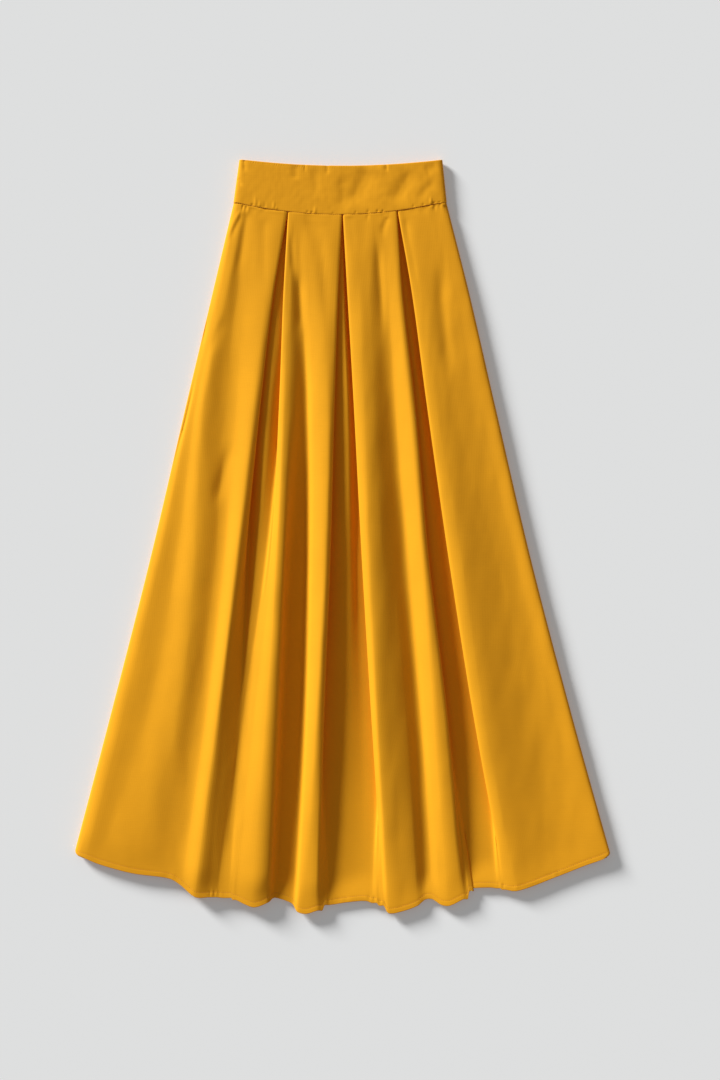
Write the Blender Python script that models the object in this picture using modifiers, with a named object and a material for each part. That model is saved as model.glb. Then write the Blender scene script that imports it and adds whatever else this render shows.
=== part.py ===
"""High-waisted maxi skirt with three inverted box pleats, laid flat on its back.

Units are metres, and the tables are in millimetres. +Z is up off the surface, +Y runs towards
the waist and the front of the skirt faces +Z. The origin is on the surface, under the middle.

Each piece is an open sheet through a row of sections, thickened by Solidify. A section of the
front panel is the path that the cloth takes across the skirt: over each ridge, and at each
pleat round its edge, back under the face to the tuck, along the underlay and out again.
"""

import math
from bisect import bisect
from collections import namedtuple

import bmesh
import bpy
from mathutils import Vector

MM = 0.001

# Cloth and making, in millimetres
PANEL_WALL = 1.2
BAND_WALL = 2.0
SEAM_GAP = 0.3
SEAM_EASE = 0.2  # more room at the ends of the waist seam, where both pieces turn over
BACK_HEIGHT = PANEL_WALL / 2
FLOOR = 2.1  # lowest height of the front panel's middle, just clear of the back panel

# Lengths down the skirt, in millimetres. A drop is measured down from the middle of the seam.
WAIST_Y = 483.7
BAND_MIDDLE = 72.8
BAND_TOP_RISE = 9.0
BAND_TOP_LEFT = -154.0
BAND_TOP_RIGHT = 149.0
SEAM_RISE = 17.5
SEAM_HALF = 152.0
SEAM_CENTRE = -6.0
BACK_HEM_DROP = 1020.0

# How finely the sheets are divided
PANEL_ROWS = 16
BAND_ROWS = 4
BACK_STEPS = 8
WIDE_STEPS = 2

# The drops that the columns of the tables below stand for
LEVELS = (0, 115, 280, 520, 760, 1000)

LEFT_SIDE = (-167, -194, -233, -289, -350, -413)
RIGHT_SIDE = (160, 189, 227, 283, 346, 413)
SIDE_HEM = 960
SIDE_SEAM_HEIGHT = 7.0
SIDE_SEAM_GAP = 0.5

# A soft fold line: where it lies across the skirt, the height of the cloth there, and its hem
Fold = namedtuple("Fold", "across height hem")

# A pleat edge with its tuck: the edge, how far the hidden fold lies back under the face (less
# than zero once the pleat has opened), the height of that fold, and the radii of the two turns
Tuck = namedtuple("Tuck", "edge height depth floor edge_turn tuck_turn edge_hem tuck_hem")

TIGHT = (1.2, 1.6, 2.4, 3.0, 3.2, 3.2)
SOFTENING = (1.2, 1.6, 2.8, 4.0, 5.0, 5.5)
HIDDEN = (2.0, 1.9, 1.9, 2.4, 2.6, 2.4)
ON_BACK = (2.1, 2.1, 2.3, 2.4, 2.6, 2.8)

LEFT_ROLL = (
    Fold((-166.7, -193.7, -232.7, -288.7, -349.7, -412.7), (8.6, 8.8, 9.0, 9.0, 9.0, 8.6), 960),
    Fold((-165.6, -192.4, -231.3, -287.3, -348.3, -411.2), (10.6, 11.4, 11.8, 11.8, 11.8, 11.0), 960.5),
    Fold((-162, -188, -226.5, -282, -343, -405.5), (11.6, 13.2, 14.0, 14.2, 14.2, 13.2), 962),
)
RIGHT_ROLL = (
    Fold((155, 183.5, 221, 276.5, 339.5, 405.5), (11.6, 13.0, 13.8, 14.0, 14.0, 13.2), 965),
    Fold((158.6, 187.4, 225.3, 281.3, 344.3, 411.2), (10.6, 11.4, 11.8, 11.8, 11.8, 11.0), 961),
    Fold((159.7, 188.7, 226.7, 282.7, 345.7, 412.7), (8.6, 8.8, 9.0, 9.0, 9.0, 8.6), 960),
)

LEFT_PANEL = (
    Fold((-156, -181, -216, -250, -295, -372), (11.8, 13.6, 15.0, 11.8, 10.6, 10.6), 968),
    Fold((-151, -168, -201, -220, -254, -308), (11.9, 13.4, 15.0, 14.6, 13.8, 12.6), 983),
    Fold((-141, -149, -168, -190, -218, -248), (11.9, 9.8, 8.6, 8.8, 8.4, 7.4), 1001),
    Fold((-111, -119, -140, -163, -190, -222), (12.2, 14.4, 21.0, 25.0, 24.5, 18.5), 1024),
)
PLEAT_ONE = (
    Tuck((-83.2, -103, -124.5, -151, -177, -201), (12.3, 13.4, 18.5, 22.5, 21.0, 14.5),
         (25, 22, 14, -3, -15, -10), (2.1, 2.1, 2.3, 2.6, 3.4, 4.0), SOFTENING, HIDDEN, 1024, 1024),
    Fold((-82.2, -95, -112, -137, -157, -185), (2.1, 2.4, 5.0, 2.8, 3.2, 4.2), 1025),
    Tuck((-81.4, -88, -94.5, -121, -142, -159), (12.3, 13.2, 17.5, 19.5, 17.5, 13.0),
         (25, 20, 5, -8, -8, -14), (2.1, 2.1, 2.6, 7.0, 6.0, 5.0), SOFTENING, HIDDEN, 1028, 1025),
)
SECOND_RIDGE = (
    Fold((-78.5, -83, -88, -100, -114, -129), (12.5, 14.4, 20.0, 27.0, 28.0, 21.5), 1039),
    Fold((-76, -77, -78, -88, -96, -107.5), (12.5, 13.4, 15.0, 21.5, 24.5, 19.0), 1031),
    Fold((-72, -68, -64, -77, -90, -102), (12.5, 11.0, 7.0, 4.2, 3.0, 3.0), 1025),
    Fold((-66, -58, -51, -56, -62, -73), (12.6, 10.6, 6.0, 3.0, 2.8, 3.0), 1034),
    Fold((-57, -46, -39, -42, -48, -58), (12.6, 13.0, 16.0, 20.5, 20.0, 14.5), 1046),
    Fold((-19, -20, -22, -29, -36, -45), (12.6, 15.0, 22.5, 29.5, 29.0, 21.0), 1049),
)
PLEAT_TWO = (
    Tuck((-0.9, -7, -11.5, -16.5, -25, -31), (12.4, 14.0, 19.5, 26.0, 25.0, 17.5),
         (25, 23, 19, 14, 8, -2), (2.1, 2.1, 2.3, 2.6, 5.0, 8.0), TIGHT, HIDDEN, 1046, 1038),
    Fold((0, 1.5, 5, 8, 16, 24), (2.1, 2.3, 3.0, 3.8, 4.4, 5.2), 1030),
    Tuck((0.9, 7.5, 17, 28.5, 46, 61), (12.4, 14.0, 19.5, 25.5, 24.5, 16.5),
         (25, 23, 18, 13, 8, -10), ON_BACK, TIGHT, HIDDEN, 1037, 1033),
)
THIRD_RIDGE = (
    Fold((14, 22, 30, 38, 56, 76), (12.6, 14.8, 21.5, 28.5, 29.0, 20.5), 1048),
    Fold((35, 41, 47, 60, 74, 90), (12.6, 13.2, 16.0, 21.5, 23.0, 17.0), 1045),
    Fold((46, 54, 64, 77, 96, 124), (12.5, 11.2, 6.4, 3.8, 3.2, 3.4), 1028),
    Fold((56, 64, 75, 89, 109, 137), (12.5, 11.0, 5.6, 3.2, 2.8, 2.8), 1027),
    Fold((68, 76, 91, 108, 128, 155), (12.5, 13.2, 16.0, 20.0, 19.5, 13.0), 1036),
    Fold((76, 83, 100, 121, 142, 167), (12.4, 14.6, 21.5, 28.0, 28.5, 20.5), 1037),
)
PLEAT_THREE = (
    Tuck((81.6, 89.8, 109, 130, 159, 181), (12.3, 13.8, 19.0, 25.5, 25.5, 17.5),
         (24, 23, 18, 12, 6, -4), (2.1, 2.1, 2.3, 2.8, 5.5, 7.0), TIGHT, HIDDEN, 1031, 1015),
    Fold((82.8, 96.5, 118, 146, 182, 213), (2.1, 2.3, 2.8, 3.4, 4.2, 4.6), 1010),
    Tuck((84, 104, 126, 160, 199, 243), (12.3, 13.8, 19.5, 25.5, 24.5, 16.5),
         (24, 23, 18, 13, 8, -12), ON_BACK, TIGHT, HIDDEN, 1013, 1011),
)
RIGHT_PANEL = (
    Fold((93, 114, 135, 173, 214, 262), (12.3, 14.4, 22.0, 27.5, 26.0, 18.5), 1015),
    Fold((138, 149, 166, 220, 282, 312), (11.9, 11.4, 14.5, 16.0, 14.0, 10.5), 993),
    Fold((147, 168, 205, 256, 316, 366), (11.8, 12.8, 15.4, 15.6, 15.0, 12.6), 977),
)


def along(row, drop):
    """Value of a table row at a drop, on a smooth curve through its columns."""
    last = len(LEVELS) - 1
    slopes = [(row[i + 1] - row[i]) / (LEVELS[i + 1] - LEVELS[i]) for i in range(last)]
    leans = [slopes[0]] + [(a + b) / 2 for a, b in zip(slopes, slopes[1:])] + [slopes[-1]]
    if drop <= LEVELS[0]:
        return row[0] + leans[0] * (drop - LEVELS[0])
    if drop >= LEVELS[-1]:
        return row[-1] + leans[-1] * (drop - LEVELS[-1])
    i = bisect(LEVELS, drop) - 1
    step = LEVELS[i + 1] - LEVELS[i]
    u = (drop - LEVELS[i]) / step
    return (
        row[i] * (1 + 2 * u) * (1 - u) ** 2
        + leans[i] * step * u * (1 - u) ** 2
        + row[i + 1] * (3 - 2 * u) * u ** 2
        - leans[i + 1] * step * (1 - u) * u ** 2
    )


def seam_drop(x):
    """Drop of the waist seam at x: it lifts a little towards the side seams."""
    return -SEAM_RISE * min(((x - SEAM_CENTRE) / SEAM_HALF) ** 2, 1.0)


def seam_gap(x):
    """Half the gap between the band and the panels at x."""
    return SEAM_GAP / 2 + SEAM_EASE * min(abs(x / SEAM_HALF), 1.0) ** 8


def drop_at(row, hem, t):
    """Drop of a line at the fraction t of its way from the waist seam to its own hem."""
    top = seam_drop(row[0]) + seam_gap(row[0])
    return top + t * (hem - top)


def at(x, drop, z):
    return Vector((x, WAIST_Y - drop, max(z, FLOOR)))


def fold_knot(fold, t):
    drop = drop_at(fold.across, fold.hem, t)
    return at(along(fold.across, drop), drop, along(fold.height, drop))


def tuck_knots(tuck, t, side):
    """Knots from the face round a pleat edge and under it to the tuck; side is the way the edge points."""
    drop = drop_at(tuck.edge, tuck.edge_hem, t)
    under = drop_at(tuck.edge, tuck.tuck_hem, t)
    edge, top = along(tuck.edge, drop), along(tuck.height, drop)
    depth, floor = along(tuck.depth, drop), along(tuck.floor, drop)
    r_tuck = along(tuck.tuck_turn, drop)
    r_edge = min(along(tuck.edge_turn, drop), (top - floor) / 2 - r_tuck)
    opened = -math.tanh(depth / 8)
    hidden = edge - side * depth
    return [
        at(edge - side * r_edge, drop, top),
        at(edge, drop, top - r_edge),
        at(edge + side * r_edge * opened, drop, top - 2 * r_edge),
        at(hidden - side * r_tuck * opened, under, floor + 2 * r_tuck),
        at(hidden, under, floor + r_tuck),
        at(hidden + side * r_tuck, under, floor),
    ]


def side_knot(side_row, t, height):
    drop = drop_at(side_row, SIDE_HEM, t)
    return Vector((along(side_row, drop), WAIST_Y - drop, height))


def front_section(t):
    """Knots of the front panel's section at the fraction t of the way to the hem, and its tight spans."""
    knots, tight = [side_knot(LEFT_SIDE, t, SIDE_SEAM_HEIGHT)], set()

    def take(folds):
        knots.extend(fold_knot(fold, t) for fold in folds)

    def take_turns(turns):
        tight.update(range(len(knots), len(knots) + len(turns) - 1))
        knots.extend(turns)

    take(LEFT_ROLL + LEFT_PANEL)
    for (left, underlay, right), ridge in (
        (PLEAT_ONE, SECOND_RIDGE),
        (PLEAT_TWO, THIRD_RIDGE),
        (PLEAT_THREE, RIGHT_PANEL + RIGHT_ROLL),
    ):
        take_turns(tuck_knots(left, t, 1))
        take((underlay,))
        take_turns(tuck_knots(right, t, -1)[::-1])
        take(ridge)
    knots.append(side_knot(RIGHT_SIDE, t, SIDE_SEAM_HEIGHT))
    return knots, tight


def smooth_path(knots, steps):
    """Points on a smooth curve through the knots, with steps[i] points along span i."""
    ends = [knots[0] * 2 - knots[1]] + knots + [knots[-1] * 2 - knots[-2]]
    path = [knots[0]]
    for i, count in enumerate(steps):
        p0, p1, p2, p3 = ends[i:i + 4]
        a, b, c = (max((q - p).length, 0.01) ** 0.5 for p, q in ((p0, p1), (p1, p2), (p2, p3)))
        out = ((p1 - p0) / a - (p2 - p0) / (a + b) + (p2 - p1) / b) * b
        into = ((p2 - p1) / b - (p3 - p1) / (b + c) + (p3 - p2) / c) * b
        for k in range(1, count + 1):
            u = k / count
            point = (
                p1 * (1 + 2 * u) * (1 - u) ** 2
                + out * u * (1 - u) ** 2
                + p2 * (3 - 2 * u) * u ** 2
                - into * (1 - u) * u ** 2
            )
            path.append(point)
    return path


def along_seam(path):
    """A panel's top row, moved to run just under the waist seam."""
    return [Vector((p.x, WAIST_Y - seam_drop(p.x) - seam_gap(p.x), p.z)) for p in path]


def lowest(path, floor):
    return [Vector((p.x, p.y, max(p.z, floor))) for p in path]


def back_section(left, right, lift, y_at):
    """Section of a piece that lies on the surface and curls up at both side seams.

    y_at gives the place down the skirt at -1 to 1 of the way from side to side.
    """
    flat = BACK_HEIGHT + lift
    top = SIDE_SEAM_HEIGHT - SIDE_SEAM_GAP
    curl = ((0, top), (0.2, 5.0), (2.0, 2.4 + lift), (6, flat + 0.5), (13, flat))
    points = [(left + inward, z) for inward, z in curl]
    first, last = left + curl[-1][0], right - curl[-1][0]
    points += [(first + (last - first) * k / BACK_STEPS, flat) for k in range(1, BACK_STEPS)]
    points += [(right - inward, z) for inward, z in reversed(curl)]
    middle, half = (left + right) / 2, (right - left) / 2
    return [Vector((x, y_at((x - middle) / half), z)) for x, z in points]


def sheet(name, rows, wall, material, collection):
    """An open grid through the rows, thickened evenly to both sides."""
    bm = bmesh.new()
    grid = [[bm.verts.new(p * MM) for p in row] for row in rows]
    for upper, lower in zip(grid, grid[1:]):
        for i in range(len(upper) - 1):
            bm.faces.new((lower[i], lower[i + 1], upper[i + 1], upper[i]))
    mesh = bpy.data.meshes.new(name)
    bm.to_mesh(mesh)
    bm.free()
    mesh.shade_smooth()
    mesh.materials.append(material)
    piece = bpy.data.objects.new(name, mesh)
    collection.objects.link(piece)
    solidify = piece.modifiers.new("cloth", "SOLIDIFY")
    solidify.thickness = wall * MM
    solidify.offset = 0
    return piece


def front_panel(material, collection):
    rows = []
    for k in range(PANEL_ROWS + 1):
        knots, tight = front_section(k / PANEL_ROWS)
        steps = [1 if i in tight else WIDE_STEPS for i in range(len(knots) - 1)]
        rows.append(lowest(smooth_path(knots, steps), FLOOR))
    rows[0] = along_seam(rows[0])
    return sheet("front_panel", rows, PANEL_WALL, material, collection)


def back_panel(material, collection):
    """One flat A-line panel: its hem is an even curve, and the front panel's hem falls past it."""
    rows = []
    for k in range(PANEL_ROWS + 1):
        t = k / PANEL_ROWS
        left, right = side_knot(LEFT_SIDE, t, 0), side_knot(RIGHT_SIDE, t, 0)

        def y_at(s):
            top = seam_drop(s * -LEFT_SIDE[0]) + SEAM_GAP / 2
            hem = BACK_HEM_DROP + (SIDE_HEM - BACK_HEM_DROP) * s ** 2
            return WAIST_Y - (top + t * (hem - top))

        rows.append(back_section(left.x, right.x, 0, y_at))
    rows[0] = along_seam(rows[0])
    return sheet("back_panel", rows, PANEL_WALL, material, collection)


def band_side(side_row, u):
    """Side edge of the waistband at the fraction u of the way from the seam to the top edge."""
    bottom = along(side_row, seam_drop(side_row[0]))
    top = BAND_TOP_LEFT if bottom < 0 else BAND_TOP_RIGHT
    return bottom + u * (top - bottom)


def band_y(u):
    def y_at(x):
        bottom = seam_gap(x) - seam_drop(x)
        top = BAND_MIDDLE + BAND_TOP_RISE * min(abs(x) / BAND_TOP_RIGHT, 1.0) ** 2
        return WAIST_Y + bottom + u * (top - bottom)
    return y_at


def front_waistband(material, collection):
    """A firm shaped band that rolls over at the sides and domes a little in the middle."""
    roll = ((0, SIDE_SEAM_HEIGHT), (0.3, 8.6), (1.4, 10.6), (5, 11.8), (20, 12.2), (55, 12.8))
    middle = 13.0
    rows = []
    for k in range(BAND_ROWS + 1):
        u = 1 - k / BAND_ROWS
        xl, xr = band_side(LEFT_SIDE, u), band_side(RIGHT_SIDE, u)
        y_at = band_y(u)
        points = [(xl + inward, z) for inward, z in roll]
        points += [(x, middle) for x in (-60, -20, 20, 60)]
        points += [(xr - inward, z) for inward, z in reversed(roll)]
        knots = [Vector((x, y_at(x), z)) for x, z in points]
        rows.append(smooth_path(knots, [WIDE_STEPS] * (len(knots) - 1)))
    return sheet("front_waistband", rows, BAND_WALL, material, collection)


def back_waistband(material, collection):
    lift = (BAND_WALL - PANEL_WALL) / 2
    rows = []
    for k in range(BAND_ROWS + 1):
        u = 1 - k / BAND_ROWS
        xl, xr = band_side(LEFT_SIDE, u), band_side(RIGHT_SIDE, u)
        middle, half, y_at = (xl + xr) / 2, (xr - xl) / 2, band_y(u)
        rows.append(back_section(xl, xr, lift, lambda s: y_at(middle + s * half)))
    return sheet("back_waistband", rows, BAND_WALL, material, collection)


def cotton_sateen(name):
    """Mustard cotton sateen: a smooth satin weave with a soft sheen."""
    material = bpy.data.materials.new(name)
    material.use_nodes = True
    shader = material.node_tree.nodes["Principled BSDF"]
    shader.inputs["Base Color"].default_value = (0.78, 0.39, 0.036, 1)
    shader.inputs["Roughness"].default_value = 0.62
    shader.inputs["Metallic"].default_value = 0
    return material


def main():
    for left_over in list(bpy.data.objects):
        bpy.data.objects.remove(left_over, do_unlink=True)
    skirt = bpy.data.collections.new("pleated_maxi_skirt")
    bpy.context.scene.collection.children.link(skirt)
    for make in (front_panel, back_panel, front_waistband, back_waistband):
        make(cotton_sateen(f"sateen_{make.__name__}"), skirt)


main()
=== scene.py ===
"""Looks of the pleated maxi skirt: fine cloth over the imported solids, its sewing, the sateen,
and the floor, light and camera.

Lengths in the tables are in millimetres. +X runs across the skirt, +Y towards the waist and +Z up
off the surface. A drop is measured down the skirt from the middle of the waist seam.
"""

import math
from bisect import bisect
from collections import namedtuple

import bpy
import numpy as np
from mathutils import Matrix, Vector, noise


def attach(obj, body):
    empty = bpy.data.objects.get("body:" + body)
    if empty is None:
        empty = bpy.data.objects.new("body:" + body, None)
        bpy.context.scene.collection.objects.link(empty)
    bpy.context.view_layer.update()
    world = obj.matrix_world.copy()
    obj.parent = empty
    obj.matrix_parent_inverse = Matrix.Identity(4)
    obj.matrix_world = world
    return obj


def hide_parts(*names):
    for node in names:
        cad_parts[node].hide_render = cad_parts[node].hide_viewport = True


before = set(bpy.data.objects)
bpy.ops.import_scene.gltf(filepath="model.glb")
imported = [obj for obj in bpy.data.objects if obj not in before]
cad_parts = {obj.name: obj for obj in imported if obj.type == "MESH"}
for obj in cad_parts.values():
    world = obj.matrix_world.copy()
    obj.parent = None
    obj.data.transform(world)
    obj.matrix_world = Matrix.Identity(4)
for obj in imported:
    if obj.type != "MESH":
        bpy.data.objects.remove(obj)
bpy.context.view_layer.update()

MM = 0.001

# The cut and the cloth
PANEL_WALL = 0.9
BAND_WALL = 1.8
FLOOR = 2.1  # lowest height of the front panel's middle, just clear of the back panel
BACK_HEIGHT = 0.6
WAIST_Y = 483.7
BAND_MIDDLE = 72.8
BAND_TOP_RISE = 9.0
BAND_TOP_LEFT = -154.0
BAND_TOP_RIGHT = 149.0
SEAM_GAP = 0.3
SEAM_RISE = 17.5
SEAM_HALF = 152.0
SEAM_CENTRE = -6.0
BACK_HEM_DROP = 1020.0
SIDE_SEAM_HEIGHT = 7.0
SIDE_SEAM_GAP = 0.5
SKIRT_LENGTH = 1035.0
BAND_DEPTH = 72.0

# The sewing
HEM_DEPTH = 8.0
HEM_CORNERS = (8.0, 3.0)  # left, right
STITCH_PITCH = 3.2
STITCH_LENGTH = 2.5
SEAM_STITCH_SINK = 0.2  # how deep the stitches of the waist seam lie in it
THREAD_WIDTH = 0.5

# The drops that the columns of the fold tables stand for
LEVELS = (0, 115, 280, 520, 760, 1000)

LEFT_SIDE = (-167, -194, -233, -289, -350, -413)
RIGHT_SIDE = (160, 189, 227, 283, 346, 413)
SIDE_HEM = 960

# A soft fold line: where it lies across the skirt, the height of the cloth there, and its hem
Fold = namedtuple("Fold", "across height hem")

# A pleat edge with its tuck: the edge, how far the hidden fold lies back under the face (less
# than zero once the pleat has opened), the height of that fold, and the radii of the two turns
Tuck = namedtuple("Tuck", "edge height depth floor edge_turn tuck_turn edge_hem tuck_hem")

# Radii of the turns, at each level: edges that stay pressed, edges that go soft towards the hem,
# and hidden folds
TIGHT = (0.9, 1.0, 1.4, 2.0, 2.4, 2.6)
SOFTENING = (0.9, 1.0, 1.7, 3.2, 5.0, 5.5)
HIDDEN = (2.0, 1.9, 1.9, 2.4, 2.6, 2.4)

# Height of a hidden fold that lies on the back panel
ON_BACK = (2.1, 2.1, 2.3, 2.4, 2.6, 2.8)

LEFT_ROLL = (
    Fold((-166.2, -193.2, -232.2, -288.2, -349.2, -412.2), (8.6, 8.4, 8.4, 8.4, 8.4, 8.6), 961),
    Fold((-164.2, -190.8, -229.6, -285.6, -346.6, -409.6), (10.3, 10.0, 9.8, 9.9, 10.1, 10.4),
         962.5),
    Fold((-161, -187, -226, -278, -336, -396), (11.4, 12.0, 11.8, 12.4, 13.0, 13.4), 966),
)
RIGHT_ROLL = (
    Fold((154, 183, 221, 277, 340, 406), (11.8, 13.2, 13.6, 13.2, 13.0, 12.0), 965),
    Fold((158.8, 187.8, 225.8, 281.8, 344.8, 411.8), (10.8, 12.2, 12.4, 12.2, 12.0, 11.2), 961),
    Fold((159.8, 188.8, 226.8, 282.8, 345.8, 412.8), (8.8, 9.6, 9.8, 9.6, 9.4, 9.2), 960),
)

LEFT_PANEL = (
    Fold((-156, -182, -219, -251, -297, -376), (11.8, 13.4, 13.8, 12.9, 12.8, 13.4), 974),
    Fold((-151, -173, -207, -222, -249, -320), (11.9, 14.4, 17.4, 19.8, 18.0, 13.6), 988),
    Fold((-141, -157, -175, -190, -219, -258), (11.9, 12.0, 13.2, 15.2, 14.4, 12.0), 997),
    Fold((-128, -147, -160, -178, -207, -242), (12.0, 12.8, 14.4, 16.4, 15.8, 13.2), 1006),
    Fold((-111, -114, -131, -158, -187, -217), (12.2, 16.4, 22.0, 26.0, 25.0, 21.0), 1024),
)
PLEAT_ONE = (
    Tuck((-83.2, -103, -122.5, -147, -174, -200), (12.3, 15.2, 20.0, 22.5, 20.5, 16.5),
         (25, 22, 14, -3, -15, -12), (2.1, 2.1, 2.3, 2.6, 11.2, 13.0), SOFTENING, HIDDEN,
         1024, 1024),
    (Fold((-82.2, -95, -110, -129, -153, -178), (2.1, 8.5, 13.6, 12.5, 10.4, 12.8), 1025),),
    Tuck((-81.4, -88, -94.5, -107, -134, -156), (12.3, 15.0, 17.5, 21.0, 17.4, 15.2),
         (25, 20, 5, -6, -13, -11), (2.1, 2.1, 2.6, 13.4, 10.8, 13.0), SOFTENING, HIDDEN,
         1028, 1025),
)
SECOND_RIDGE = (
    Fold((-78.5, -82, -87, -98, -112, -130), (12.5, 15.2, 19.5, 26.5, 27.0, 21.5), 1039),
    Fold((-76, -77, -77.5, -87.5, -97.5, -109), (12.5, 14.8, 17.6, 24.2, 23.8, 18.4), 1031),
    Fold((-74, -72, -70, -84.5, -94.5, -106), (12.5, 13.2, 13.8, 14.0, 12.0, 10.0), 1028),
    Fold((-71, -67, -63, -78, -90, -101), (12.5, 12.4, 8.8, 3.0, 2.1, 2.1), 1025),
    Fold((-66, -61, -55, -56, -62, -74), (12.6, 12.2, 7.6, 2.2, 2.1, 2.1), 1034),
    Fold((-57, -50, -45, -45.5, -52, -65), (12.6, 14.2, 15.5, 18.5, 17.5, 12.5), 1046),
    Fold((-19, -28, -21, -26, -38, -52), (12.6, 16.0, 21.5, 27.4, 26.2, 15.6), 1049),
)
PLEAT_TWO = (
    Tuck((-0.9, -6.5, -12, -18.5, -28, -34), (12.4, 14.6, 19.4, 25.6, 24.4, 16.5),
         (25, 23, 19, 14, 8, -10), (2.1, 2.1, 2.3, 2.6, 3.0, 3.8), TIGHT, HIDDEN, 1044, 1036),
    (
        Fold((-0.2, 1.5, 8, 11, 11, 8), (2.1, 9.0, 11.0, 9.0, 4.4, 2.6), 1032),
        Fold((0.2, 5, 15, 20, 29, 34), (2.1, 2.6, 2.3, 2.1, 2.1, 2.1), 1030),
    ),
    Tuck((0.9, 7.5, 17, 29.5, 44, 60), (12.4, 14.0, 16.8, 20.6, 18.6, 8.0),
         (25, 23, 18, 14, 14, -12), ON_BACK, TIGHT, HIDDEN, 1037, 1033),
)
THIRD_RIDGE = (
    Fold((14, 24, 31, 40, 52, 66), (12.6, 15.8, 20.5, 25.6, 24.4, 12.0), 1048),
    Fold((35, 40, 47, 59, 73, 88), (12.6, 14.8, 18.2, 22.4, 21.2, 12.0), 1045),
    Fold((43, 54, 62, 77, 97, 112), (12.55, 13.1, 12.3, 13.6, 13.2, 9.0), 1036),
    Fold((46, 60, 69, 87, 108, 122), (12.5, 12.4, 9.6, 8.2, 6.0, 2.8), 1028),
    Fold((56, 67, 77, 94, 116, 132), (12.5, 12.4, 8.8, 7.0, 5.4, 2.6), 1027),
    Fold((68, 76, 90, 108, 127, 146), (12.5, 14.2, 14.4, 15.6, 14.5, 8.0), 1036),
    Fold((76, 84, 101, 121, 140, 158), (12.4, 15.6, 18.8, 22.8, 22.0, 11.5), 1037),
)
PLEAT_THREE = (
    Tuck((81.6, 89.6, 108, 129.5, 158, 180), (12.3, 14.6, 17.8, 21.6, 21.0, 12.0),
         (24, 23, 18, 12, 6, -10), (2.1, 2.1, 2.3, 2.8, 3.5, 4.5), TIGHT, HIDDEN, 1027, 1015),
    (
        Fold((82.6, 93, 115, 136, 165, 190), (2.1, 5.0, 7.0, 6.0, 3.6, 2.6), 1012),
        Fold((83.0, 100, 123, 158, 190, 220), (2.1, 2.4, 2.2, 2.1, 2.1, 2.1), 1010),
    ),
    Tuck((84, 104, 126, 160, 198, 243), (12.3, 14.6, 18.5, 22.1, 19.6, 6.6),
         (24, 23, 18, 17, 17, -10), ON_BACK, TIGHT, HIDDEN, 1013, 1011),
)
RIGHT_PANEL = (
    Fold((93, 116, 138, 178, 212, 257), (12.3, 15.6, 19.5, 24.6, 22.6, 10.4), 1015),
    Fold((138, 156, 172, 234, 286, 324), (11.9, 13.2, 15.4, 13.5, 12.0, 8.4), 993),
    Fold((147, 168, 203, 260, 320, 368), (11.8, 13.4, 13.0, 11.6, 11.2, 9.4), 977),
)

# A crease: its route as points (across, drop), how wide it is to its left and right, how far it
# stands up (a trough is less than zero), and the shares of its length over which it grows and fades
Crease = namedtuple("Crease", "route left right rise grow fade", defaults=(0.3, 0.3))

SKIRT_CREASES = (
    # the first valley, where the side panel is eased in at the left of the waist seam
    Crease(((-143, -6), (-147, 20), (-154, 61), (-162, 106)), 5, 7, -1.2, 0.1, 0.4),
    Crease(((-178, 155), (-188, 181), (-194, 206)), 6, 8, -1.0),
    Crease(((-166, 338), (-182, 398), (-192, 440)), 6, 9, -1.6),
    # the left pocket: a slanting line from the waist seam to the side, and the side seam below it
    Crease(((-154, -4), (-164, 14), (-174, 34)), 2.5, 2.5, 0.8, 0.1, 0.2),
    Crease(((-150, 0), (-160, 18), (-170, 38)), 3, 4, -0.6, 0.1, 0.3),
    Crease(((-204, 150), (-207, 175), (-209.5, 192)), 1.4, 1.8, -1.6, 0.4, 0.1),
    Crease(
        ((-221, 240), (-228, 276), (-235, 306), (-244, 338), (-259, 398)), 1.2, 1.8, -1.8, 0.3, 0.5
    ),
    # the face between the first and second pleats
    Crease(((-77, 26), (-76, 91)), 3, 4, -1.0),
    Crease(((-66, 85), (-65, 125), (-64, 180)), 5, 6, -1.8),
    Crease(((-31, 12), (-31, 70)), 4, 4, -1.0, 0.1, 0.5),
    # soft troughs where the easing at the seam runs down into the faces
    Crease(((-118, 4), (-119, 68), (-114, 128)), 6, 7, -0.9, 0.1, 0.5),
    Crease(((-55, 2), (-46, 20), (-30, 68), (-26, 128), (-24, 180)), 6, 7, -1.3, 0.1, 0.4),
    Crease(((8, 2), (10, 20), (18, 60)), 5, 6, -0.6, 0.1, 0.5),
    Crease(((93, 4), (103, 68), (114, 128)), 4, 6, -0.9, 0.1, 0.5),
    # the wedge that starts beside the third pleat
    Crease(((68, 3), (62, 18), (57, 34)), 3, 4, -1.2, 0.1, 0.3),
    Crease(((55, 30), (55, 71), (58, 128), (62, 200)), 8, 5, -2.6, 0.3, 0.5),
    # the right panel
    Crease(((146, 70), (148, 128), (154, 188), (161, 250)), 9, 8, -2.0),
    Crease(((152, -14), (157, -8), (162, -1)), 2.5, 3, -1.2, 0.1, 0.3),
)
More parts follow.
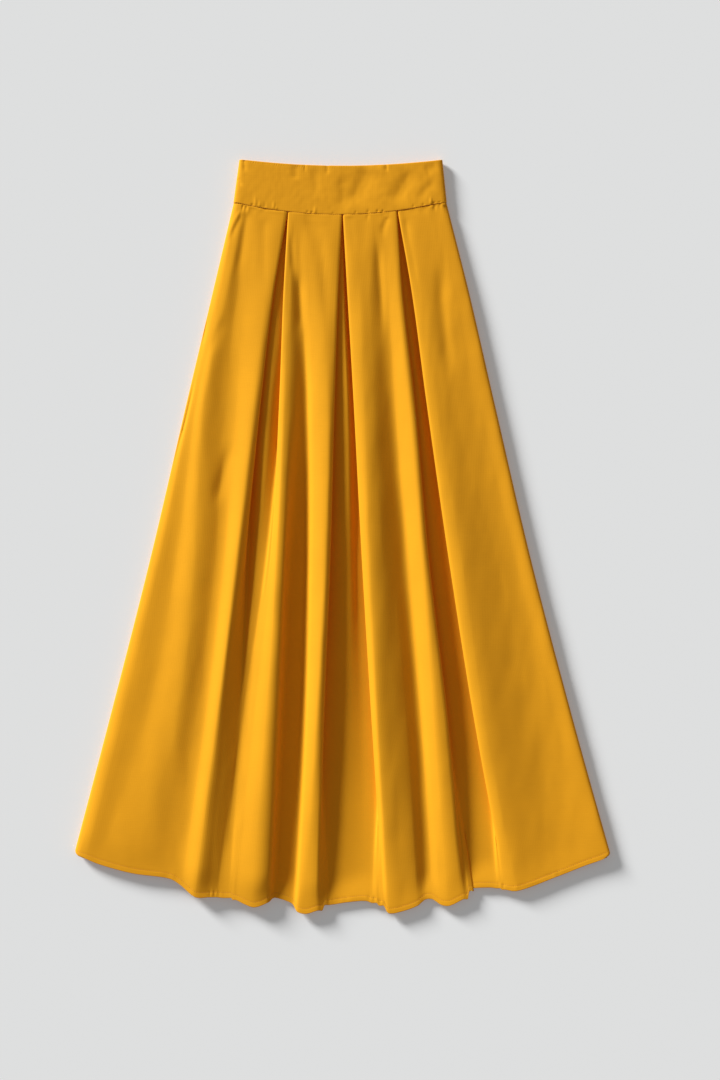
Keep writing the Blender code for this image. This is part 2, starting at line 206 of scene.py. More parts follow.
BAND_CREASES = (
    Crease(((-148, -82), (-146, -61)), 3, 3.5, -0.9, 0.1, 0.5),
    Crease(((-158, -53), (-151, -41)), 2, 3, -0.7, 0.1, 0.5),
    Crease(((-70, -76), (-71, -50)), 6, 6, -0.7),
    Crease(((-56.5, -76), (-56, -62)), 2, 2, -0.5, 0.1, 0.5),
    Crease(((-41, -74), (-40, -22)), 6, 7, -0.6),
    Crease(((-23, -74), (-23, -58)), 3, 3, -0.5, 0.1, 0.5),
    Crease(((1, -62), (1, -4)), 8, 10, -0.9),
    Crease(((44, -74), (33, -56), (19, -29), (8, -12)), 12, 15, -2.0),
    Crease(((24, -74), (62, -74)), 5, 5, -0.6),
    Crease(((66, -80), (67, -63)), 3.5, 1.5, -0.8, 0.1, 0.4),
    Crease(((107, -70), (93, -46), (82, -28), (74, -14)), 10, 13, -1.7),
    Crease(((144, -74), (122, -64)), 8, 8, -0.8),
    Crease(((140, -52), (122, -34), (113, -17)), 6, 7, -0.7),
)

# Puckers where the cloth was eased into the waist seam: where, how far they run up the band and
# down the panel, how far they lean, and how high they stand. The factors below scale them all.
Pucker = namedtuple("Pucker", "across above below lean height")

PUCKERS = (
    Pucker(-149, 0, 8, -3, -0.7),
    Pucker(-144, 0, 9, -3, -0.8),
    Pucker(-136, 3, 11, -4, -0.7),
    Pucker(-130, 12, 4, 2, 0.5),
    Pucker(-124, 7, 6, 1, 0.5),
    Pucker(-116, 8, 3, 2, -0.4),
    Pucker(-103, 10, 5, 0, 0.5),
    Pucker(-99, 5, 0, 1, 0.4),
    Pucker(-52, 4, 8, 0, -0.5),
    Pucker(-46, 3, 16, -1, -0.8),
    Pucker(-41, 9, 7, 0, 0.5),
    Pucker(-14, 3, 5, 0, -0.3),
    Pucker(20, 4, 6, 1, -0.4),
    Pucker(38, 5, 9, -2, -0.5),
    Pucker(53, 4, 10, 2, -0.7),
    Pucker(61, 3, 9, 2, -0.6),
    Pucker(69, 0, 7, 1, -0.4),
    Pucker(107, 5, 8, 2, -0.4),
    Pucker(122, 4, 10, 3, -0.5),
    Pucker(133, 9, 6, 2, 0.6),
    Pucker(138, 3, 8, 2, -0.6),
    Pucker(146, 2, 7, 2, -0.5),
)
PUCKER_REACH = 1.5
PUCKER_LEAN = 0.5
PUCKER_HEIGHT = 1.3
PUCKER_LEFT, PUCKER_RIGHT = 1.7, 1.9  # how wide they are to each side
PUCKER_GROW, PUCKER_FADE = 0.3, 0.7


def along(row, drop):
    """Value of a table row at a drop, on a smooth curve through its columns."""
    last = len(LEVELS) - 1
    slopes = [(row[i + 1] - row[i]) / (LEVELS[i + 1] - LEVELS[i]) for i in range(last)]
    leans = [slopes[0]] + [(a + b) / 2 for a, b in zip(slopes, slopes[1:])] + [slopes[-1]]
    if drop <= LEVELS[0]:
        return row[0] + leans[0] * (drop - LEVELS[0])
    if drop >= LEVELS[-1]:
        return row[-1] + leans[-1] * (drop - LEVELS[-1])
    i = bisect(LEVELS, drop) - 1
    step = LEVELS[i + 1] - LEVELS[i]
    u = (drop - LEVELS[i]) / step
    return (
        row[i] * (1 + 2 * u) * (1 - u) ** 2
        + leans[i] * step * u * (1 - u) ** 2
        + row[i + 1] * (3 - 2 * u) * u ** 2
        - leans[i + 1] * step * (1 - u) * u ** 2
    )


def seam_drop(x):
    """Drop of the waist seam at x: it lifts a little towards the side seams."""
    return -SEAM_RISE * min(((x - SEAM_CENTRE) / SEAM_HALF) ** 2, 1.0)


def drop_at(row, hem, t):
    """Drop of a line at the fraction t of its way from the waist seam to its own hem."""
    top = seam_drop(row[0]) + SEAM_GAP / 2
    return top + t * (hem - top)


def at(x, drop, z):
    return Vector((x, WAIST_Y - drop, max(z, FLOOR)))


def fold_knot(fold, t):
    drop = drop_at(fold.across, fold.hem, t)
    return at(along(fold.across, drop), drop, along(fold.height, drop))


OPENING = 8.0  # how far past its edge a hidden fold lies when its pleat has mostly opened
PLAIN_SLOPE = 1.6  # how strongly an opened pleat turns into a plain slope


def tuck_knots(tuck, t, side):
    """Knots from the face round a pleat edge and under it to the tuck.

    side is the way that the edge points: 1 for a left tuck and -1 for a right one.
    """
    drop = drop_at(tuck.edge, tuck.edge_hem, t)
    under = drop_at(tuck.edge, tuck.tuck_hem, t)
    edge, top = along(tuck.edge, drop), along(tuck.height, drop)
    depth, floor = along(tuck.depth, drop), along(tuck.floor, drop)
    r_tuck = along(tuck.tuck_turn, drop)
    r_edge = min(along(tuck.edge_turn, drop), (top - floor) / 2 - r_tuck)
    opened = -math.tanh(depth / OPENING)
    hidden = edge - side * depth
    start, end = edge - side * r_edge, hidden + side * r_tuck
    turns = (
        (start, top),
        (edge, top - r_edge),
        (edge + side * r_edge * opened, top - 2 * r_edge),
        (hidden - side * r_tuck * opened, floor + 2 * r_tuck),
        (hidden, floor + r_tuck),
        (end, floor),
    )
    # the further a pleat has opened, the more it is a plain slope from its edge to its floor
    plain = min(PLAIN_SLOPE * max(opened, 0) ** 2, 1)
    knots = []
    for i, (x, z) in enumerate(turns):
        s = i / (len(turns) - 1)
        x += plain * (start + (end - start) * s - x)
        z += plain * (top + (floor - top) * s - z)
        knots.append(at(x, drop if i < 3 else under, z))
    return knots


def side_knot(side_row, t, height):
    drop = drop_at(side_row, SIDE_HEM, t)
    return Vector((along(side_row, drop), WAIST_Y - drop, height))


def front_section(t):
    """Knots of the front panel's section at the fraction t of the way to the hem."""
    knots = [side_knot(LEFT_SIDE, t, SIDE_SEAM_HEIGHT)]
    knots += [fold_knot(fold, t) for fold in LEFT_ROLL + LEFT_PANEL]
    for (left, underlays, right), ridge in (
        (PLEAT_ONE, SECOND_RIDGE),
        (PLEAT_TWO, THIRD_RIDGE),
        (PLEAT_THREE, RIGHT_PANEL + RIGHT_ROLL),
    ):
        knots += tuck_knots(left, t, 1)
        knots += [fold_knot(fold, t) for fold in underlays]
        knots += tuck_knots(right, t, -1)[::-1]
        knots += [fold_knot(fold, t) for fold in ridge]
    knots.append(side_knot(RIGHT_SIDE, t, SIDE_SEAM_HEIGHT))
    return knots


def smooth_path(knots, steps):
    """Points on a smooth curve through the knots, with steps[i] points along span i."""
    ends = [knots[0] * 2 - knots[1]] + knots + [knots[-1] * 2 - knots[-2]]
    path = [knots[0]]
    for i, count in enumerate(steps):
        p0, p1, p2, p3 = ends[i:i + 4]
        a, b, c = (max((q - p).length, 0.01) ** 0.5 for p, q in ((p0, p1), (p1, p2), (p2, p3)))
        out = ((p1 - p0) / a - (p2 - p0) / (a + b) + (p2 - p1) / b) * b
        into = ((p2 - p1) / b - (p3 - p1) / (b + c) + (p3 - p2) / c) * b
        for k in range(1, count + 1):
            u = k / count
            u = (u + (1 - math.cos(math.pi * u)) / 2) / 2  # closer together by the knots
            point = (
                p1 * (1 + 2 * u) * (1 - u) ** 2
                + out * u * (1 - u) ** 2
                + p2 * (3 - 2 * u) * u ** 2
                - into * (1 - u) * u ** 2
            )
            path.append(point)
    return path


def steps_for(sections, pitch, fewest):
    """How many points each span gets, from its mean length over some sections."""
    spans = zip(*([(q - p).length for p, q in zip(s, s[1:])] for s in sections))
    return [max(fewest, round(sum(span) / len(span) / pitch)) for span in spans]


def fractions(length, pitch, near_top, near_end):
    """Fractions of the way down for a grid's rows: even, but closer by the seam and the edge."""
    inner = length - near_top[-1] - near_end[-1]
    count = round(inner / pitch)
    even = [near_top[-1] + inner * k / count for k in range(1, count)]
    return [d / length for d in [*near_top, *even, *(length - d for d in reversed(near_end))]]


def smooth(v):
    v = np.clip(v, 0, 1)
    return v * v * (3 - 2 * v)


def relief(x, drop, creases):
    """Height that the creases add at each point."""
    total = np.zeros_like(x)
    for crease in creases:
        pieces = [math.dist(a, b) for a, b in zip(crease.route, crease.route[1:])]
        done, nearest, value = 0.0, np.full_like(x, np.inf), np.zeros_like(x)
        for ((x0, d0), (x1, d1)), length in zip(zip(crease.route, crease.route[1:]), pieces):
            ux, ud = (x1 - x0) / length, (d1 - d0) / length
            s = np.clip((x - x0) * ux + (drop - d0) * ud, 0, length)
            dx, dd = x - x0 - s * ux, drop - d0 - s * ud
            away = np.hypot(dx, dd)
            width = np.where(dx * ud - dd * ux < 0, crease.left, crease.right)
            way = (done + s) / sum(pieces)
            strength = smooth(way / crease.grow) * smooth((1 - way) / crease.fade)
            here = crease.rise * strength * np.exp(-((away / width) ** 2))
            value = np.where(away < nearest, here, value)
            nearest = np.minimum(nearest, away)
            done += length
        total += value
    return total


def pucker_creases(above):
    """The puckers as creases, on the band or on the panels."""
    made = []
    way = -1 if above else 1
    for p in PUCKERS:
        reach = p.above if above else p.below
        if reach:
            start = seam_drop(p.across)
            end = start + way * PUCKER_REACH * reach
            route = ((p.across, start), (p.across + way * p.lean * PUCKER_LEAN, end))
            made.append(Crease(
                route, PUCKER_LEFT, PUCKER_RIGHT, p.height * PUCKER_HEIGHT, PUCKER_GROW, PUCKER_FADE
            ))
    return made


LAYER_STEP = 7.3  # so far apart in the noise that no scale repeats another


def unevenness(x, drop, scales):
    """Slight waviness of pressed cloth: (height, across, down) of each scale."""
    total = np.zeros(x.size)
    for layer, (height, across, down) in enumerate(scales):
        places = zip(x.ravel() / across, drop.ravel() / down)
        total += [height * noise.noise(Vector((u, v, LAYER_STEP * layer))) for u, v in places]
    return total.reshape(x.shape)


def cloth(name, grid, wall, material):
    """A thin shell through a grid of points in millimetres.

    Its UV map holds places on the cloth in metres: across, as measured along the folds, and down.
    """
    rows, columns = grid.shape[:2]
    index = np.arange(rows * columns).reshape(rows, columns)
    quads = np.stack((index[1:, :-1], index[1:, 1:], index[:-1, 1:], index[:-1, :-1]), axis=-1)
    mesh = bpy.data.meshes.new(name)
    mesh.from_pydata((grid.reshape(-1, 3) * MM).tolist(), [], quads.reshape(-1, 4).tolist())
    path = np.linalg.norm(np.diff(grid, axis=1), axis=2).cumsum(axis=1)
    path = np.concatenate((np.zeros((rows, 1)), path), axis=1)
    path -= path[:, [columns // 2]]
    places = np.stack((path, WAIST_Y - grid[..., 1]), axis=-1).reshape(-1, 2) * MM
    layer = mesh.uv_layers.new(name="cloth")
    corners = np.zeros(len(mesh.loops), int)
    mesh.loops.foreach_get("vertex_index", corners)
    layer.data.foreach_set("uv", places[corners].ravel())
    mesh.shade_smooth()
    mesh.materials.append(material)
    piece = bpy.data.objects.new(name, mesh)
    bpy.context.scene.collection.objects.link(piece)
    shell = piece.modifiers.new("cloth", "SOLIDIFY")
    shell.thickness = wall * MM
    shell.offset = 0
    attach(piece, "root")
    return piece


def stitches(name, lines, material):
    """Short lengths of thread along lines of (point, outward normal) pairs, in millimetres."""
    sides = 5
    # each ring of a stitch: how far along it lies, and its size and lift as shares of the width
    rings = (
        (0, 0.25, -0.5),
        (0.12, 0.8, 0.05),
        (0.5, 1.0, 0.25),
        (0.88, 0.8, 0.05),
        (1, 0.25, -0.5),
    )
    vertices, faces = [], []
    for line in lines:
        points = np.array([p for p, _ in line])
        normals = np.array([n for _, n in line])
        run = np.concatenate(([0], np.linalg.norm(np.diff(points, axis=0), axis=1).cumsum()))
        for k in range(int(run[-1] / STITCH_PITCH)):
            start = (k + 0.5) * STITCH_PITCH
            base = len(vertices)
            a = Vector([np.interp(start, run, points[:, i]) for i in range(3)])
            b = Vector([np.interp(start + STITCH_LENGTH, run, points[:, i]) for i in range(3)])
            up = Vector([np.interp(start, run, normals[:, i]) for i in range(3)]).normalized()
            across = (b - a).cross(up).normalized()
            for way, size, lift in rings:
                middle = a.lerp(b, way) + up * lift * THREAD_WIDTH
                for j in range(sides):
                    turn = 2 * math.pi * j / sides
                    out = across * math.cos(turn) + up * math.sin(turn)
                    vertices.append(middle + out * size * THREAD_WIDTH / 2)
            for r in range(len(rings) - 1):
                for j in range(sides):
                    i, n = base + r * sides, (j + 1) % sides
                    faces.append((i + j, i + n, i + n + sides, i + j + sides))
            faces.append([base + j for j in reversed(range(sides))])
            faces.append([base + (len(rings) - 1) * sides + j for j in range(sides)])
    mesh = bpy.data.meshes.new(name)
    mesh.from_pydata([v * MM for v in vertices], [], faces)
    mesh.shade_smooth()
    mesh.materials.append(material)
    piece = bpy.data.objects.new(name, mesh)
    bpy.context.scene.collection.objects.link(piece)
    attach(piece, "root")
    return piece


def surface_line(grid, row, lift):
    """(point, normal) pairs along a row of a grid, raised off the cloth's middle by lift."""
    points = grid[row]
    run = np.gradient(points, axis=0)
    down = grid[row] - grid[row - 1] if row else grid[1] - grid[0]
    normals = np.cross(down, run)
    normals /= np.linalg.norm(normals, axis=1, keepdims=True)
    return [(p + n * lift, n) for p, n in zip(points, normals)]


# ---- the front panel

PANEL_TOP_ROWS = (0, 0.7, 1.5, 2.4, 3.5, 5, 7, 9.5, 12.5, 16, 20.5, 26)
PANEL_HEM_ROWS = (0, 0.8, 2.2, 4.2, 6, 7.2, 8, 8.8, 10, 12, 15, 19, 24, 30)
PANEL_ROW_PITCH = 8.0
PANEL_COLUMN_PITCH = 4.2
PANEL_SAMPLES = (0.05, 0.35, 0.65, 0.95)  # how far down the columns' spacing is worked out
PANEL_WAVES = ((0.55, 21, 80), (0.2, 8, 30))

# Fine relief fades out where the front panel lies on the back one, below this height over it,
# and only this share of it is left at the side seams
LOOSE_HEIGHT = 6.0
SIDE_RELIEF = 0.15
TOP_FADE = 4.0  # how far down the rows follow the line of the waist seam

# The stitched hem evens the folds out: to what height, how much of the way, and how far up
HEM_HEIGHT = 11.0
HEM_EVENS = 0.55
HEM_EVENS_OVER = 45.0

# The hem's doubled cloth, the groove of its stitch line and its puckers: how high, and how wide
HEM_STEP, HEM_STEP_WIDTH = 0.12, 1.5
HEM_GROOVE, HEM_GROOVE_WIDTH = 0.16, 1.0
HEM_PUCKER, HEM_PUCKER_WIDTH = 0.3, 4.5
HEM_PUCKER_PITCH = 1.15
HEM_PUCKER_BELOW = 2.0  # how far below the stitch line the puckers are highest
HEM_SIDE_FADE = 6.0  # how near the side seams the hem's relief fades out
CORNER_REACH = 10.0  # how far in from a turned corner the cloth is drawn along

# How deep each piece sinks into the waist seam, and how near it
PANEL_SEAM_SINK = 0.2
BAND_SEAM_SINK = 0.15
SEAM_REACH = 1.2


def seam_roll(distance, depth):
    """How far cloth sinks into the waist seam at a distance from it."""
    return -depth * np.exp(-((distance / SEAM_REACH) ** 2))


def finish_hem(grid, to_hem):
    """Evens the folds out by the hem, and gives it its doubled cloth, stitch line and puckers."""
    x, z = grid[..., 0], grid[..., 2]
    share = HEM_EVENS * smooth(1 - to_hem / HEM_EVENS_OVER)
    inner = smooth(np.minimum(x - x[:, [0]], x[:, [-1]] - x) / HEM_SIDE_FADE)
    z += (HEM_HEIGHT - z) * share * inner
    z += HEM_STEP * smooth((HEM_DEPTH - to_hem) / HEM_STEP_WIDTH) * inner
    z -= HEM_GROOVE * np.exp(-(((to_hem - HEM_DEPTH) / HEM_GROOVE_WIDTH) ** 2)) * inner
    # the puckers' beat is uneven, and comes and goes along the hem
    beat = np.sin(x / HEM_PUCKER_PITCH + 2.2 * np.sin(x / 17)) * smooth(np.sin(x / 41 + 0.9) * 1.6)
    over = np.exp(-(((to_hem - HEM_DEPTH + HEM_PUCKER_BELOW) / HEM_PUCKER_WIDTH) ** 2))
    z += HEM_PUCKER * beat * over * inner


def round_corners(grid, to_hem):
    """Turns the hem's two outer corners on a small radius."""
    x = grid[..., 0]
    for corner, side, way in zip(HEM_CORNERS, (x[:, [0]].copy(), x[:, [-1]].copy()), (1, -1)):
        away = np.clip(corner - to_hem, 0, corner)
        inward = corner - np.sqrt(corner ** 2 - away ** 2)
        x += way * inward * np.exp(-abs(x - side) / CORNER_REACH)


def front_panel_grid():
    ts = fractions(SKIRT_LENGTH, PANEL_ROW_PITCH, PANEL_TOP_ROWS, PANEL_HEM_ROWS)
    steps = steps_for([front_section(t) for t in PANEL_SAMPLES], PANEL_COLUMN_PITCH, 2)
    grid = np.array([smooth_path(front_section(t), steps) for t in ts])
    z = grid[..., 2]
    z[:] = np.maximum(z, FLOOR)
    # the top row is brought onto the line of the waist seam, and the next rows with it
    top = [WAIST_Y - seam_drop(x) - SEAM_GAP / 2 for x in grid[0, :, 0]]
    shift = np.array(top) - grid[0, :, 1]
    below = np.array(ts)[:, None] * SKIRT_LENGTH
    grid[..., 1] += shift * np.exp(-below / TOP_FADE)
    x, drop = grid[..., 0], WAIST_Y - grid[..., 1]
    free = smooth((z - FLOOR) / LOOSE_HEIGHT)
    free[:, [0, 1, -2, -1]] *= SIDE_RELIEF
    added = relief(x, drop, [*SKIRT_CREASES, *pucker_creases(above=False)])
    added += unevenness(x, drop, PANEL_WAVES)
    added += seam_roll(below, PANEL_SEAM_SINK)
    z += added * free
    to_hem = (1 - np.array(ts)[:, None]) * SKIRT_LENGTH + np.zeros_like(x)
    finish_hem(grid, to_hem)
    round_corners(grid, to_hem)
    z[:] = np.maximum(z, FLOOR)
    return grid


# ---- the back panel and the bands

BACK_TOP_ROWS = (0, 2, 6, 14)
BACK_HEM_ROWS = (0, 0.8, 2.2, 4.2, 6, 7.2, 8, 8.8, 10, 12, 15, 24)
BACK_ROW_PITCH = 20.0
BACK_COLUMNS = 60


def back_points(left, right, lift, y_at, steps):
    """A row of a piece that lies on the surface and curls up at both side seams."""
    flat = BACK_HEIGHT + lift
    top = SIDE_SEAM_HEIGHT - SIDE_SEAM_GAP
    # how far in from the side seam, and the height there
    curl = (
        (0, top),
        (0.7, 5.7),
        (2.2, 4.3),
        (4.4, 2.7 + lift),
        (7, flat + 1.0),
        (10.5, flat + 0.3),
        (15, flat),
    )
    points = [(left + inward, z) for inward, z in curl]
    first, last = left + curl[-1][0], right - curl[-1][0]
    points += [(first + (last - first) * k / steps, flat) for k in range(1, steps)]
    points += [(right - inward, z) for inward, z in reversed(curl)]
    middle, half = (left + right) / 2, (right - left) / 2
    return [(x, y_at((x - middle) / half), z) for x, z in points]


def back_panel_grid():
    """One flat A-line panel: its hem is an even curve, and the front panel's hem falls past it."""
    rows = []
    ts = fractions(SKIRT_LENGTH, BACK_ROW_PITCH, BACK_TOP_ROWS, BACK_HEM_ROWS)
    for t in ts:
        left, right = side_knot(LEFT_SIDE, t, 0), side_knot(RIGHT_SIDE, t, 0)

        def y_at(s):
            top = seam_drop(s * -LEFT_SIDE[0]) + SEAM_GAP / 2
            hem = BACK_HEM_DROP + (SIDE_HEM - BACK_HEM_DROP) * s ** 2
            return WAIST_Y - (top + t * (hem - top))

        rows.append(back_points(left.x, right.x, 0, y_at, BACK_COLUMNS))
    grid = np.array(rows)
    round_corners(grid, (1 - np.array(ts)[:, None]) * SKIRT_LENGTH)
    return grid


def band_side(side_row, u):
    """Side edge of the waistband at the fraction u of the way from the seam to the top edge."""
    bottom = along(side_row, seam_drop(side_row[0]))
    top = BAND_TOP_LEFT if bottom < 0 else BAND_TOP_RIGHT
    return bottom + u * (top - bottom)


def band_y(u):
    """The line of the waistband's cloth at the fraction u of the way up, as a function of x."""

    def y_at(x):
        bottom = SEAM_GAP / 2 - seam_drop(x)
        top = BAND_MIDDLE + BAND_TOP_RISE * min(abs(x) / BAND_TOP_RIGHT, 1.0) ** 2
        return WAIST_Y + bottom + u * (top - bottom)

    return y_at


BAND_TOP_ROWS = (0, 0.3, 0.8, 1.4, 2.2, 3.1, 4.1)
BAND_SEAM_ROWS = (0, 0.7, 1.5, 2.4, 3.4)
BAND_ROW_PITCH = 1.6
BAND_COLUMN_PITCH = 1.15
BAND_WAVES = ((0.35, 24, 30), (0.12, 7, 9))
BAND_SIDE_RELIEF = 0.1  # share of the fine relief that is left at the band's sides

# The band rolls over at its sides: how far in from the side seam, and the height there. Between
# the two rolls its face lies level at these places.
BAND_ROLL = ((0, SIDE_SEAM_HEIGHT), (0.3, 8.6), (1.4, 10.4), (5, 11.5), (20, 11.9), (55, 12.2))
BAND_FACE = 12.3
BAND_FACE_PLACES = (-60, -20, 20, 60)

# The turned top edge falls away: how deep, and over what width
TOP_ROLL, TOP_ROLL_WIDTH = 0.3, 2.2

# Small ticks along the top edge: how deep, how wide, how far apart and how far down. They are
# full at the left, start to fade this far before their end, and end at this x.
TICK_DEPTH, TICK_WIDTH = 0.3, 1.5
TICK_PITCH = 3.5
TICK_DROP = 2.4
TICKS_FADE = 110.0
TICKS_END = 30.0

BACK_BAND_ROW_PITCH = 8.0
BACK_BAND_EDGE_ROWS = (0, 1, 3)
BACK_BAND_COLUMNS = 40


def front_waistband_grid():
    """A firm shaped band that rolls over at the sides and domes a little in the middle."""
    sections, downs = [], fractions(BAND_DEPTH, BAND_ROW_PITCH, BAND_TOP_ROWS, BAND_SEAM_ROWS)
    for t in downs:
        xl, xr = band_side(LEFT_SIDE, 1 - t), band_side(RIGHT_SIDE, 1 - t)
        y_at = band_y(1 - t)
        points = [(xl + inward, z) for inward, z in BAND_ROLL]
        points += [(x, BAND_FACE) for x in BAND_FACE_PLACES]
        points += [(xr - inward, z) for inward, z in reversed(BAND_ROLL)]
        sections.append([Vector((x, y_at(x), z)) for x, z in points])
    steps = steps_for(sections[::20], BAND_COLUMN_PITCH, 3)
    grid = np.array([smooth_path(section, steps) for section in sections])
    x, z = grid[..., 0], grid[..., 2]
    drop = WAIST_Y - grid[..., 1]
    free = np.ones_like(z)
    free[:, :4] *= BAND_SIDE_RELIEF
    free[:, -4:] *= BAND_SIDE_RELIEF
    from_top = np.array(downs)[:, None] * BAND_DEPTH + np.zeros_like(x)
    added = relief(x, drop, [*BAND_CREASES, *pucker_creases(above=True)])
    added += unevenness(x, drop, BAND_WAVES)
    added += seam_roll(BAND_DEPTH - from_top, BAND_SEAM_SINK)
    rolled = np.clip(1 - from_top / TOP_ROLL_WIDTH, 0, 1)
    added -= TOP_ROLL * (1 - np.sqrt(1 - rolled ** 2))
    beat = np.clip(np.sin(2 * math.pi * (x + 0.4 * from_top) / TICK_PITCH), 0, 1)
    ticks = beat * smooth((TICKS_END - x) / TICKS_FADE)
    added -= TICK_DEPTH * ticks * np.exp(-(((from_top - TICK_DROP) / TICK_WIDTH) ** 2))
    z += added * free
    return grid


def back_waistband_grid():
    """The back's band, which is flat on the surface like the back panel."""
    lift = (BAND_WALL - PANEL_WALL) / 2
    rows = []
    for t in fractions(
        BAND_DEPTH, BACK_BAND_ROW_PITCH, BACK_BAND_EDGE_ROWS, BACK_BAND_EDGE_ROWS
    ):
        xl, xr = band_side(LEFT_SIDE, 1 - t), band_side(RIGHT_SIDE, 1 - t)
        middle, half, y_at = (xl + xr) / 2, (xr - xl) / 2, band_y(1 - t)
        rows.append(back_points(
            xl, xr, lift, lambda s: y_at(middle + s * half), BACK_BAND_COLUMNS
        ))
    return np.array(rows)


# ---- materials


def linear(hex_colour):
    """An sRGB hex colour as linear RGBA."""
    parts = [int(hex_colour[i:i + 2], 16) / 255 for i in (1, 3, 5)]
    return [c / 12.92 if c <= 0.04045 else ((c + 0.055) / 1.055) ** 2.4 for c in parts] + [1.0]


def add(tree, kind, sockets=None, **settings):
    """Adds a node with its properties (settings) and its inputs (sockets).

    An input is given as a value, or as the output of another node, which is linked to it.
    """
    node = tree.nodes.new(kind)
    for name, value in settings.items():
        setattr(node, name, value)
    for name, value in (sockets or {}).items():
        if isinstance(value, bpy.types.NodeSocket):
            tree.links.new(value, node.inputs[name])
        else:
            node.inputs[name].default_value = value
    return node


def new_material(name):
    material = bpy.data.materials.new(name)
    material.use_nodes = True
    tree = material.node_tree
    return material, tree, tree.nodes["Principled BSDF"]


SATEEN_DYE = "#D69208"
THREAD_PITCH = 0.0026
ONE_BAND_A_METRE = 0.314  # the wave texture's scale for that


def cotton_sateen(name):
    """Woven cotton sateen, dyed mustard and pressed.

    A sateen has long floats of thread on its face. They give the cloth a smooth hand and a broad
    soft sheen on every slope that leans to the light. Its folds go deep, and a faint painted red
    glow reddens them.
    """
    material, tree, shader = new_material(name)
    place = add(tree, "ShaderNodeUVMap", uv_map="cloth").outputs["UV"]

    # The weave: threads across and down. Real sateen has a thread every 0.3 mm, too fine to show
    # from here, so they are drawn coarse, as the fine cross-hatch that the photo shows.
    threads = []
    for way in ("X", "Y"):
        yarn = add(tree, "ShaderNodeTexWave", {
            "Vector": place, "Scale": ONE_BAND_A_METRE / THREAD_PITCH,
            "Distortion": 1.6, "Detail": 2.0, "Detail Scale": 0.35,
        }, bands_direction=way)
        threads.append(yarn.outputs["Fac"])
    weave = add(tree, "ShaderNodeMath", {0: threads[0], 1: threads[1]}, operation="ADD").outputs[0]

    # Slubs: cotton yarn is a little thicker and thinner, over some centimetres of its length
    stretched = add(tree, "ShaderNodeMapping", {"Vector": place, "Scale": (60, 420, 1)})
    slubs = add(tree, "ShaderNodeTexNoise", {
        "Vector": stretched.outputs[0], "Scale": 1.0, "Detail": 3.0, "Roughness": 0.6,
    }).outputs["Fac"]
    # The dye takes a touch unevenly, over some centimetres
    cloudy = add(tree, "ShaderNodeTexNoise", {
        "Vector": place, "Scale": 14.0, "Detail": 6.0, "Roughness": 0.6,
    }).outputs["Fac"]

    # How light the dye looks: about 1 on average, and a little more or less with each of the three
    shade = 0.988
    for pattern, share in ((weave, 0.012), (slubs, 0.08), (cloudy, 0.14)):
        sockets = {0: pattern, 1: share, 2: shade}
        shade = add(tree, "ShaderNodeMath", sockets, operation="MULTIPLY_ADD").outputs[0]
    shade = add(tree, "ShaderNodeMath", {0: shade, 1: 0.115}, operation="SUBTRACT").outputs[0]
    dyed = add(
        tree, "ShaderNodeVectorMath", {0: linear(SATEEN_DYE)[:3], 1: shade}, operation="MULTIPLY"
    )
    tree.links.new(dyed.outputs[0], shader.inputs["Base Color"])

    height = add(tree, "ShaderNodeMath", {0: slubs, 1: weave}, operation="ADD")
    bump = add(tree, "ShaderNodeBump", {
        "Height": height.outputs[0], "Strength": 0.13, "Distance": 0.0002,
    })
    tree.links.new(bump.outputs[0], shader.inputs["Normal"])
    shader.inputs["Roughness"].default_value = 0.85
    shader.inputs["IOR"].default_value = 1.5
    shader.inputs["Specular IOR Level"].default_value = 0.5
    shader.inputs["Specular Tint"].default_value = linear("#D4FFB0")
    shader.inputs["Sheen Weight"].default_value = 0.1
    shader.inputs["Sheen Roughness"].default_value = 0.8
    shader.inputs["Sheen Tint"].default_value = linear("#FFE850")
    # Painted light: the whole cloth glows a faint red, which warms and reddens its shadows
    shader.inputs["Emission Color"].default_value = (1, 0.02, 0, 1)
    shader.inputs["Emission Strength"].default_value = 0.043
    return material


def sewing_thread(name):
    """Spun polyester thread, dyed to match: a touch darker and duller than the sateen."""
    material, _, shader = new_material(name)
    shader.inputs["Base Color"].default_value = linear("#BE7408")
    shader.inputs["Roughness"].default_value = 0.6
    shader.inputs["Sheen Weight"].default_value = 0.1
    return material


def matt_paper(name):
    """Seamless studio paper, matt and pale grey, with a faint glow that keeps its shadows pale."""
    material, tree, shader = new_material(name)
    place = add(tree, "ShaderNodeTexCoord").outputs["Object"]
    grain = add(tree, "ShaderNodeTexNoise", {"Vector": place, "Scale": 900.0, "Detail": 2.0})
    bump = add(tree, "ShaderNodeBump", {
        "Height": grain.outputs["Fac"], "Strength": 0.03, "Distance": 0.0002,
    })
    tree.links.new(bump.outputs[0], shader.inputs["Normal"])
    shader.inputs["Base Color"].default_value = linear("#CFD0D0")
    shader.inputs["Emission Color"].default_value = (1, 1, 1, 1)
    shader.inputs["Emission Strength"].default_value = 0.155
    shader.inputs["Roughness"].default_value = 0.9
    shader.inputs["Specular IOR Level"].default_value = 0.1
    return material


# ---- the skirt

sateen = cotton_sateen("mustard_cotton_sateen")
thread = sewing_thread("mustard_sewing_thread")

front_grid = front_panel_grid()
front = cloth("front_panel_cloth", front_grid, PANEL_WALL, sateen)
back = cloth("back_panel_cloth", back_panel_grid(), PANEL_WALL, sateen)
band_grid = front_waistband_grid()
band = cloth("front_waistband_cloth", band_grid, BAND_WALL, sateen)
back_band = cloth(
    "back_waistband_cloth", back_waistband_grid(), BAND_WALL, sateen
)

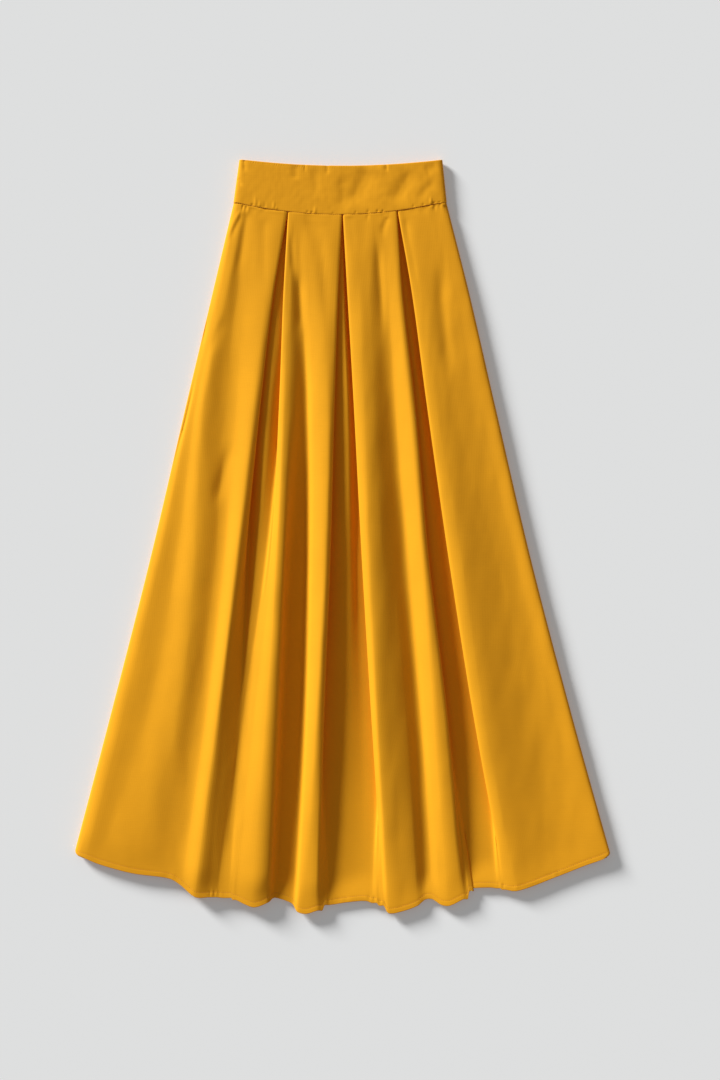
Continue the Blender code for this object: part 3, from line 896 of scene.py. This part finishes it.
hem_row = front_grid.shape[0] - 1 - PANEL_HEM_ROWS.index(HEM_DEPTH)
hem_line = surface_line(front_grid, hem_row, PANEL_WALL / 2)
hem_stitching = stitches("hem_stitching", [hem_line], thread)
seam_line = surface_line(band_grid, band_grid.shape[0] - 1, BAND_WALL / 2 - SEAM_STITCH_SINK)
waist_stitching = stitches("waist_seam_stitching", [seam_line], thread)

for piece, node in (
    (front, "front_panel"),
    (back, "back_panel"),
    (band, "front_waistband"),
    (back_band, "back_waistband"),
):
    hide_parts(node)

# ---- floor, light and camera

bpy.ops.mesh.primitive_plane_add(size=16)
floor = bpy.context.object
floor.name = "floor"
floor.data.materials.append(matt_paper("studio_paper"))

# One wide light, low from the upper left, rakes over the folds
SUN_AZIMUTH = 137.0
SUN_HEIGHT = 18.0
SUN_WIDTH = 16.0
SUN_STRENGTH = 6.9
SKY_STRENGTH = 0.24
SUN_DISTANCE = 3.0

scene = bpy.context.scene
scene.view_settings.view_transform = "Standard"

light = bpy.data.lights.new("wide_softbox", "SUN")
light.energy = SUN_STRENGTH
light.angle = math.radians(SUN_WIDTH)
sun = bpy.data.objects.new("wide_softbox", light)
scene.collection.objects.link(sun)
turn, height = math.radians(SUN_AZIMUTH), math.radians(SUN_HEIGHT)
level = math.cos(height)
towards = Vector((math.cos(turn) * level, math.sin(turn) * level, math.sin(height)))
sun.location = towards * SUN_DISTANCE
sun.rotation_euler = (-towards).to_track_quat("-Z", "Y").to_euler()

world = bpy.data.worlds.new("studio_walls")
world.use_nodes = True
world.node_tree.nodes["Background"].inputs["Color"].default_value = (1, 1, 1, 1)
world.node_tree.nodes["Background"].inputs["Strength"].default_value = SKY_STRENGTH
scene.world = world

# The camera looks straight down, and its picture takes in VIEW_LENGTH at the skirt's face
VIEW_LENGTH = 1.62
CAMERA_HEIGHT = 6.0  # over the skirt's face
FACE_HEIGHT = 0.01
CAMERA_PLACE = (0.0262, -0.0045)
SENSOR = 36.0

lens = bpy.data.cameras.new("camera")
lens.sensor_width = SENSOR
lens.lens = SENSOR * CAMERA_HEIGHT / VIEW_LENGTH
lens.clip_end = 50
camera = bpy.data.objects.new("camera", lens)
camera.location = (*CAMERA_PLACE, CAMERA_HEIGHT + FACE_HEIGHT)
scene.collection.objects.link(camera)
scene.camera = camera
